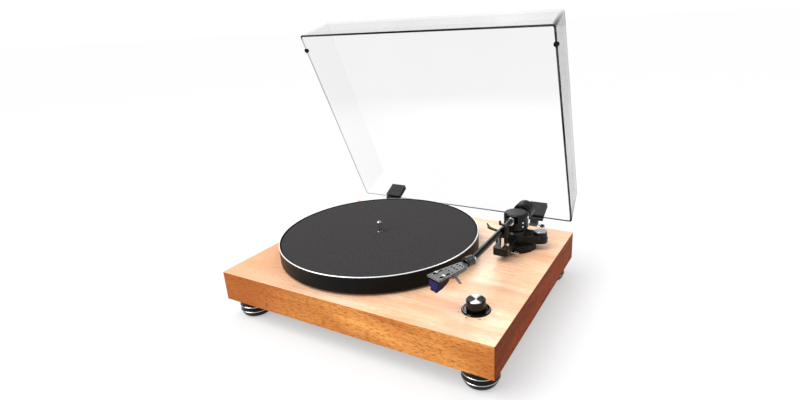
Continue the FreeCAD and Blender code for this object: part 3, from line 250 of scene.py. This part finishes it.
def coated(name, colour, rough, grain=900, lift=0.1, coat=0.0, metal=0.0, spec=0.4, edge_pale_amount=0.0,
           edge_pale_colour=(0.3, 0.3, 0.3)):
    """Painted, moulded or anodised surface with a fine even texture; its sharp edges can be made paler in
    patches, towards a given colour.
    """
    s = Shader(name)
    tooth = s.noise(grain, detail=3)
    cloud = s.noise(35, detail=3)
    tone = s.mix(s.fit(cloud, 0.3, 0.7), scaled(colour, 0.86), scaled(colour, 1.12))
    # sharp edges turned paler in patches, towards a given colour
    if edge_pale_amount:
        pale_edge_mask = s.math("MULTIPLY", s.edges(0.0006), s.fit(s.noise(240, detail=4), 0.35, 0.6, 0, edge_pale_amount))
        tone = s.mix(pale_edge_mask, tone, edge_pale_colour)
    s.set(Base_Color=tone, Roughness=s.fit(tooth, 0.25, 0.75, rough * 0.85, rough * 1.18))
    s.set(Metallic=metal, Coat_Weight=coat, Coat_Roughness=0.06, Specular_IOR_Level=spec)
    s.set(Normal=s.bump(tooth, lift, 0.00012))
    return s.material


def turned(name, centre, rough, metal):
    """Shader of a surface with fine concentric turning marks, still without its colour."""
    s = Shader(name)
    ring = s.node("ShaderNodeCombineXYZ", {"X": s.radius(centre)}).outputs["Vector"]
    marks = s.noise(9000, ring, detail=2)
    s.set(Metallic=metal, Roughness=s.fit(marks, 0.3, 0.7, rough * 0.8, rough * 1.3))
    s.set(Normal=s.bump(marks, 0.12, 0.00005))
    return s


def turned_metal(name, colour, rough, metal=1.0):
    s = turned(name, (0, 0, 0), rough, metal)
    s.set(Base_Color=s.mix(s.fit(s.noise(60, detail=3), 0.3, 0.7), scaled(colour, 0.9), colour))
    return s.material


def painted_glint_cap(name, centre, turn):
    """End-turned metal with fine turning marks, and two bright wedges, opposite each other and turned from
    +X, painted into its colour as a painted highlight.
    """
    s = turned(name, centre, rough=0.3, metal=1.0)
    offset = s.apart(s.vector("SUBTRACT", s.place, centre)["Vector"])
    angle = s.math("ARCTAN2", offset["Y"], offset["X"])
    glint_wedge = s.math("COSINE", s.math("MULTIPLY", s.math("SUBTRACT", angle, turn), 2.0))
    glint_streaks = s.math("MULTIPLY", s.noise(7000, detail=1), 0.3)
    bright = s.fit(s.math("ADD", glint_wedge, glint_streaks), 0.2, 0.95)
    # the wedges are painted into the base colour: a painted highlight
    s.set(Base_Color=s.mix(bright, (0.012, 0.012, 0.013), (0.85, 0.85, 0.86)))
    return s.material


def platter_lip(name, centre, inner):
    """Black lip, turned bright from the inner radius outwards."""
    s = turned(name, centre, rough=0.3, metal=0.25)
    bright = s.fit(s.radius(centre), inner - 0.0002, inner)
    s.set(Base_Color=s.mix(bright, (0.006, 0.006, 0.006), (0.9, 0.9, 0.9)))
    return s.material


def felt(name):
    s = Shader(name)
    hollow_shade_and_tufts, raised = (0.014, 0.013, 0.0135), (0.056, 0.051, 0.053)
    fibre = s.noise(1500, detail=5, rough=0.7)
    tuft = s.noise(330, detail=4, rough=0.65)
    # darker where the fibre bump is low: painted shade in the hollows between fibres
    tone = s.mix(s.fit(fibre, 0.3, 0.72), hollow_shade_and_tufts, raised)
    # tufts darkened at random with the same colour: the felt's own tone
    tone = s.mix(s.fit(tuft, 0.40, 0.62, 0, 0.6), tone, hollow_shade_and_tufts)
    s.set(Base_Color=tone, Roughness=s.fit(fibre, 0, 1, 0.9, 1.0), Specular_IOR_Level=0.1)
    s.set(Sheen_Weight=0.08, Sheen_Roughness=0.5)
    s.set(Normal=s.bump(s.math("ADD", fibre, tuft), 0.6, 0.0004))
    return s.material


WALL_X = 0.2                          # just inside the outer face of the cover's right wall
UPPER_EDGE = 0.374, 0.382             # heights between which the cover's rim turns into its upper edge


def by_view(face_on, edge_on):
    """Density of a sheet: thin to look through face on, denser seen along it."""
    def veil(s):
        facing = s.node("ShaderNodeLayerWeight", {"Blend": 0.5}).outputs["Facing"]
        return s.fit(s.math("POWER", s.fit(facing, 0.22, 0.86), 2.6), 0, 1, face_on, edge_on)
    return veil


def shade_by_place(from_x, left, right, below, above):
    """Density of painted shade on an edge: from left to right up to the right wall, and below and above the
    upper edge.
    """
    def veil(s):
        place = s.apart(s.place)
        sideways = s.fit(place["X"], from_x, WALL_X, left, right)
        upwards = s.fit(place["Z"], *UPPER_EDGE, below, above)
        return s.math("MAXIMUM", sideways, upwards)
    return veil


def acrylic(name, tint, veil, rough=0.02):
    """Clear moulded acrylic, as dense as veil says and faintly smeared."""
    s = Shader(name)
    smear = s.noise(9, detail=5)
    s.set(Base_Color=s.mix(smear, tint, scaled(tint, 0.9)))
    s.set(Roughness=s.fit(smear, 0.3, 0.7, rough, rough * 2.5), Specular_IOR_Level=0.12)
    s.set(Alpha=s.math("MULTIPLY", veil(s), s.fit(smear, 0.3, 0.7, 0.9, 1.1)))
    return s.material


# ---- materials of whole nodes ------------------------------------------------------------------------
GLINT_TURN = math.radians(112)        # direction of the painted highlight wedges on the knob's cap

black_metal = coated("black_metal", (0.005, 0.005, 0.0052), 0.30, 1400, 0.2, spec=0.2, edge_pale_amount=0.5)
black_plastic = coated("black_plastic", (0.007, 0.007, 0.0075), 0.42, 1100, 0.3, spec=0.2)
black_gloss = coated("black_gloss", (0.004, 0.0038, 0.004), 0.12, 500, 0.04, coat=0.1, spec=0.2)
tube_black = coated("tube_black", (0.03, 0.03, 0.031), 0.10, 500, 0.03, metal=1.0)
foot_black = coated("foot_black", (0.004, 0.004, 0.004), 0.3, spec=0.12)
rubber = coated("rubber", (0.006, 0.006, 0.006), 0.7, 700, 0.5, spec=0.15)
grey_metal = coated("grey_metal", (0.11, 0.11, 0.114), 0.36, 1500, 0.2, metal=0.3, edge_pale_amount=1.0,
                    edge_pale_colour=(0.7, 0.7, 0.72))
collar_metal = coated("collar_metal", (0.05, 0.05, 0.052), 0.3, 1500, 0.2, metal=0.6, edge_pale_amount=0.6)
lever_metal = coated("lever_metal", (0.05, 0.045, 0.045), 0.3, metal=0.4)
lift_metal = coated("lift_metal", (0.03, 0.028, 0.028), 0.3, metal=0.5, edge_pale_amount=0.8, edge_pale_colour=(0.5, 0.45, 0.42))
hinge_grey = coated("hinge_grey", (0.020, 0.019, 0.020), 0.5, lift=0.35, spec=0.3)
stylus_blue = coated("stylus_blue", (0.004, 0.003, 0.060), 0.3, 500, 0.05, spec=0.2)
board_green = coated("board", (0.02, 0.14, 0.06), 0.4, lift=0.25)
fibreboard = coated("fibreboard", (0.05, 0.045, 0.04), 0.8, 400, 0.6)
print_ink = coated("print_ink", (0.10, 0.035, 0.012), 0.6, 600)
chrome = turned_metal("chrome", (0.86, 0.86, 0.87), 0.09)
steel = turned_metal("steel", (0.62, 0.62, 0.63), 0.25)
zinc = turned_metal("zinc", (0.5, 0.5, 0.52), 0.4)
brass = turned_metal("brass", (0.72, 0.52, 0.24), 0.28)
ring_metal = turned_metal("foot_ring_metal", (0.6, 0.6, 0.61), 0.2)

LOOKS = {
    black_metal: ("arm_base", "arm_board", "lift_bar", "arm_housing", "pivot_block", "counterweight"),
    black_plastic: ("rotary_switch", "back_panel", "socket_inserts", "level_slider", "rest_cradle",
                    "rest_latch", "force_dial", "hinge_brackets", "board_components"),
    black_gloss: ("knob_bezel", "knob", "cartridge_body"),
    chrome: ("spindle", "base_trim", "arm_posts", "arm_pivots", "arm_fittings", "hinge_pins"),
    steel: ("bearing_housing", "thrust_ball", "motor_body", "motor_shaft", "arm_pins", "cantilever",
            "cartridge_screws"),
    zinc: ("case_screws", "clamp_screws"),
    brass: ("bearing_bushes", "pulley", "signal_jacks", "ground_nut", "weight_carrier"),
    rubber: ("foot_pads", "motor_grommets", "drive_belt", "lid_buffers"),
    foot_black: ("foot_bodies",),
    ring_metal: ("foot_rings",),
    tube_black: ("arm_tube",),
    collar_metal: ("locking_collar",),
    lever_metal: ("cue_lever",),
    lift_metal: ("finger_lift",),
    hinge_grey: ("hinge_leaves",),
    stylus_blue: ("stylus_holder",),
    board_green: ("circuit_board",),
    fibreboard: ("bottom_cover",),
    felt("felt"): ("mat",),
    painted_glint_cap("spun", middle("knob_cap"), GLINT_TURN): ("knob_cap",),
}
for material, dressed in LOOKS.items():
    for node in dressed:
        dress(node, material)


# ---- plinth: golden front and back, deck painted paler as painted light, ends painted dark as painted shade ---
def plinth_face(centre, normal):
    """Slot of a plinth face: 0 the deck and other faces that look up, 1 front and back, 2 the ends. Slot 0
    is the veneer painted paler (painted light), slot 2 the veneer painted darker (painted shade).
    """
    if normal.z > FACING:
        return 0
    return 2 if abs(normal.x) > FACING else 1


# the deck is the front's veneer painted paler: painted light from above
deck = veneer("veneer_deck_painted_light", (1.0, 0.75, 0.55), (0.92, 0.52, 0.29), (0.74, 0.25, 0.09), "X", 1.3,
              rough=0.36, pores=0.35, coat=0.15, spec=0.4)
front = veneer("veneer_front", (1.0, 0.46, 0.120), (0.50, 0.145, 0.028), (0.30, 0.060, 0.011), "X", 4.1)
# the ends are the same veneer painted dark red-brown: painted shade
shaded_ends = veneer("veneer_side_painted_shade", (0.36, 0.066, 0.010), (0.22, 0.034, 0.006), (0.14, 0.020, 0.004), "Y", 7.7,
              rough=0.62)
dress("plinth", deck, front, shaded_ends, pick=plinth_face)

# ---- platter: black, with a thin bright ring on its lip ----------------------------------------------
LIP_INNER, RING_INNER = 0.1474, 0.1488
LIP_FACING = 0.5                      # lets the rounded edge of the lip in
spindle_at = middle("spindle")


def platter_face(centre, normal):
    on_lip = (centre - spindle_at).to_2d().length > LIP_INNER
    return 1 if on_lip and normal.z > LIP_FACING else 0


platter_black = coated("platter_black", (0.005, 0.005, 0.005), 0.35, 1200, 0.15, spec=0.08)
dress("platter", platter_black, platter_lip("platter_lip", spindle_at, RING_INNER), pick=platter_face)


# ---- anti-skating dial: bright top -------------------------------------------------------------------
def dial_face(centre, normal):
    return 1 if normal.z > FACING else 0


dress("skate_dial", black_gloss, turned_metal("dial_top", (0.5, 0.5, 0.51), 0.3, metal=0.8), pick=dial_face)

# ---- headshell: grey plate, the walls of its holes painted black as painted shade --------------------
INSIDE_OUTLINE = 0.0014               # least depth of a hole's wall within the plate's outline
UPRIGHT = 0.3                         # largest upward part of an upright face's normal
shell_points = [vertex.co for vertex in nodes["headshell"].data.vertices]


def shell_face(centre, normal):
    """Slot 1, painted near-black as painted shade, for the walls of the holes: upright faces that lie well
    inside the plate's outline.
    """
    if abs(normal.z) > UPRIGHT:
        return 0
    outline = max(point.dot(normal) for point in shell_points)
    return 1 if outline - centre.dot(normal) > INSIDE_OUTLINE else 0


# the holes' walls are the plate's metal painted near-black: painted shade
hole_wall_shade = coated("hole_wall_shade", (0.001, 0.001, 0.001), 0.8, 700, spec=0.0)
dress("headshell", grey_metal, hole_wall_shade, pick=shell_face)

# ---- cartridge leads: four colours, side by side across the headshell --------------------------------
HEAD_ANGLE = math.radians(-20.5)      # direction across the headshell
HEAD_AT = Vector((0.1438, -0.072, 0))                # where the headshell's middle line meets the tube
LEAD_PITCH = 0.002
LEAD_COLOURS = {"white": (0.75, 0.75, 0.72), "blue": (0.02, 0.06, 0.5), "green": (0.02, 0.35, 0.16),
                "red": (0.65, 0.02, 0.03)}


def lead_face(centre, normal):
    """Slot of a lead's face: 0 to 3 from one side of the headshell to the other."""
    offset = (centre - HEAD_AT).dot(around(HEAD_ANGLE))
    return sum(offset >= edge for edge in (-LEAD_PITCH, 0, LEAD_PITCH))


leads = [coated("lead_" + name, colour, 0.35) for name, colour in LEAD_COLOURS.items()]
dress("lead_wires", *leads, pick=lead_face)

# ---- dust cover: clear panels, with painted shade: corners dark by the right wall, a black rim, a denser right wall ---
OPEN_ANGLE = math.radians(65.7)
COVER_UP = Vector((0, math.sin(OPEN_ANGLE), math.cos(OPEN_ANGLE)))        # from the rim to the panel
COVER_BACK = Vector((0, COVER_UP.z, -COVER_UP.y))                         # from the front wall to the back
FLAT = 0.975                          # least part of a panel's normal along one of its own directions
SAWN, SAWN_DEPTH = -0.98, 0.001       # the rim's faces look away from the panel and lie at its own level
rim_level = min(vertex.co.dot(COVER_UP) for vertex in nodes["dust_cover"].data.vertices)


def cover_face(centre, normal):
    """Slot of a cover face: 0 flat panels, 1 moulded corners, 2 the sawn rim, 3 the right wall; slots 1 to
    3 are darkened with painted shade.
    """
    if normal.dot(COVER_UP) < SAWN and centre.dot(COVER_UP) < rim_level + SAWN_DEPTH:
        return 2
    if normal.x > FLAT:
        return 3
    squareness = max(abs(normal.x), abs(normal.dot(COVER_BACK)), abs(normal.dot(COVER_UP)))
    return 0 if squareness > FLAT else 1


dress("dust_cover",
      acrylic("cover_panel", (0.10, 0.098, 0.096), by_view(0.05, 0.09), rough=0.2),
      # by the right wall the moulded corners are painted dark: painted shade
      acrylic("cover_corner_painted_shade", (0.02, 0.02, 0.021), shade_by_place(0.192, 0.05, 0.9, 0.05, 0.10), rough=0.1),
      # the sawn rim is painted black, densest to the right and along its upper edge: painted shade
      acrylic("cover_rim_painted_shade", (0.004, 0.004, 0.0045), shade_by_place(-0.2, 0.5, 0.99, 0.3, 0.97)),
      # the right wall is the panels' acrylic made much denser: painted shade
      acrylic("cover_side_painted_shade", (0.10, 0.10, 0.105), by_view(0.08, 0.56)), pick=cover_face)

# ---- felt mat: a loose disc lying in the platter's recess --------------------------------------------
HOLE_R, HOLE_ROUND = 0.0046, 0.0004
RINGS, MAT_STEPS = 40, 220
low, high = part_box("mat")
MAT_R, MAT_TOP, MAT_LOW = (high[0] - low[0]) / 2, high[2], low[2]
flat_inner, flat_outer = HOLE_R + HOLE_ROUND, MAT_R - 0.0012
# its edges are rounded by a few tenths of a millimetre, and its top is waved and tufted a little
profile = [(HOLE_R, MAT_LOW), (HOLE_R, MAT_TOP - 0.0002), (flat_inner, MAT_TOP)]
profile += [(flat_inner + (flat_outer - flat_inner) * k / RINGS, MAT_TOP) for k in range(1, RINGS + 1)]
profile += [(MAT_R - 0.0005, MAT_TOP - 0.0002), (MAT_R, MAT_TOP - 0.0008), (MAT_R, MAT_LOW + 0.0004),
            (MAT_R - 0.0004, MAT_LOW), (HOLE_R, MAT_LOW)]
mat = lathe("felt_mat", profile, spindle_at, MAT_STEPS)
for vertex in mat.data.vertices:
    if vertex.co.z > MAT_TOP - 0.0001:
        waves = 0.00012 * (1 + noise.noise(vertex.co * 60))
        tufts = 0.00006 * (1 + noise.noise(vertex.co * 400))
        vertex.co.z -= waves + tufts
mat.data.shade_smooth()
mat.data.materials.append(nodes["mat"].data.materials[0])
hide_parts("mat")
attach(mat, "platter")

# ---- screws on the arm's bearing housing -------------------------------------------------------------
SCREW_R, SCREW_SINK, SCREW_STEPS = 0.0013, 0.0002, 32
SCREW_ANGLES, SCREW_HEIGHTS = (-38, -142), (0.1135, 0.1075)


def screw_head(name, at, facing):
    """Domed screw head with a round recess, lying on the housing at a point and facing outwards."""
    shape = ((1, 0), (1, 0.25), (0.8, 0.45), (0.3, 0.5), (0.22, 0.2), (0, 0.15))
    head = lathe(name, [(SCREW_R * across, SCREW_R * out) for across, out in shape], (0, 0), SCREW_STEPS)
    turn = facing.to_track_quat("Z", "Y").to_matrix().to_4x4()
    head.data.transform(Matrix.Translation(at) @ turn)
    head.data.materials.append(chrome)
    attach(head, "arm_yoke")


low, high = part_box("arm_housing")
housing_at, housing_r = middle("arm_housing"), (high[0] - low[0]) / 2
spots = [(angle, height) for angle in SCREW_ANGLES for height in SCREW_HEIGHTS]
for k, (angle, height) in enumerate(spots):
    outward = around(math.radians(angle))
    spot = housing_at + outward * (housing_r - SCREW_SINK)
    spot.z = height
    screw_head("housing_screw_" + str(k), spot, outward)

# ---- printed marks in front of the speed knob --------------------------------------------------------
MARK_REACH, MARK_GAP = 0.0212, 0.0016
MARK_SIZE, MARK_CLEAR, MARK_ROUND = (0.0009, 0.0022, 0.00006), 0.00002, 0.00002
MARKS = (("mark_off", -142, 1), ("mark_slow", -98, 2), ("mark_fast", -56, 2))


def printed_stroke(name, at):
    """Thin block with rounded edges and its foot at a point."""
    bm = bmesh.new()
    bmesh.ops.create_cube(bm, size=1)
    bmesh.ops.scale(bm, vec=MARK_SIZE, verts=bm.verts)
    bmesh.ops.bevel(bm, geom=list(bm.edges), offset=MARK_ROUND, segments=2, profile=0.5, affect="EDGES")
    bmesh.ops.translate(bm, vec=at + Vector((0, 0, MARK_SIZE[2] / 2)), verts=bm.verts)
    mesh = bpy.data.meshes.new(name)
    bm.to_mesh(mesh)
    bm.free()
    stroke = new_piece(name, mesh)
    mesh.materials.append(print_ink)
    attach(stroke, "chassis")


knob_at = middle("knob_bezel")
knob_at.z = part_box("knob_bezel")[0][2] + MARK_CLEAR
for name, angle, strokes in MARKS:
    for k in range(strokes):
        shift = Vector(((k - (strokes - 1) / 2) * MARK_GAP, 0, 0))
        printed_stroke(name + "_" + str(k), knob_at + around(math.radians(angle)) * MARK_REACH + shift)

# ---- floor: pale, and a little lighter far from the object -------------------------------------------
FLOOR_Z, FLOOR_RADII, FLOOR_STEPS = -0.0002, (0, 1.0, 4.0, 60.0), 96
NEAR, FAR = 0.5, 3.0                  # distances between which the floor grows lighter
floor = lathe("floor", [(radius, FLOOR_Z) for radius in FLOOR_RADII], (0, 0), FLOOR_STEPS)
pale = Shader("pale_floor")
distance = pale.vector("LENGTH", pale.place)["Value"]
pale.set(Base_Color=pale.mix(pale.noise(3), (0.415, 0.415, 0.42), (0.425, 0.425, 0.43)), Roughness=0.9)
pale.set(Specular_IOR_Level=0.0, Emission_Color=(1, 1, 1, 1))
pale.set(Emission_Strength=pale.fit(distance, NEAR, FAR, 0.44, 0.47))
floor.data.materials.append(pale.material)
floor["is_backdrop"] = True

# ---- studio: white surroundings, a soft key light and three soft boxes -------------------------------
SKY, SKY_SEEN_MORE, SKY_MIRRORED_LESS = 0.54, 0.51, -0.16
world = bpy.data.worlds.new("studio")
bpy.context.scene.world = world
world.use_nodes = True
tree = world.node_tree
rays = tree.nodes.new("ShaderNodeLightPath").outputs
seen, mirrored = (tree.nodes.new("ShaderNodeMath") for _ in range(2))
for term, ray, strength in ((seen, "Is Camera Ray", SKY_SEEN_MORE),
                            (mirrored, "Is Glossy Ray", SKY_MIRRORED_LESS)):
    term.operation = "MULTIPLY_ADD"
    tree.links.new(rays[ray], term.inputs[0])
    term.inputs[1].default_value = strength
seen.inputs[2].default_value = SKY
tree.links.new(seen.outputs[0], mirrored.inputs[2])
tree.nodes["Background"].inputs["Color"].default_value = (1, 1, 1, 1)
tree.links.new(mirrored.outputs[0], tree.nodes["Background"].inputs["Strength"])


def lamp(light, direction, at=(0, 0, 0)):
    """Puts a light in the scene, shining along a direction."""
    holder = bpy.data.objects.new(light.name, light)
    holder.location = at
    holder.rotation_euler = Vector(direction).to_track_quat("-Z", "Y").to_euler()
    bpy.context.scene.collection.objects.link(holder)


def softbox(name, at, towards, size, watts):
    light = bpy.data.lights.new(name, "AREA")
    light.shape, light.size, light.size_y, light.energy = "RECTANGLE", size[0], size[1], watts
    lamp(light, Vector(towards) - Vector(at), at)


sun = bpy.data.lights.new("key", "SUN")
sun.energy, sun.angle = 2.5, math.radians(50)
lamp(sun, (0.45, 0.35, -1.0))
softbox("front_box", at=(-0.9, -1.6, 1.1), towards=(0, 0, 0.1), size=(1.2, 0.8), watts=12)
softbox("top_strip", at=(0.9, 0.5, 1.5), towards=(0.14, 0, 0.1), size=(0.12, 1.4), watts=6)
softbox("back_strip", at=(-0.55, 1.5, 1.15), towards=(0.16, -0.1, 0.08), size=(0.30, 1.1), watts=5)

low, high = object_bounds()
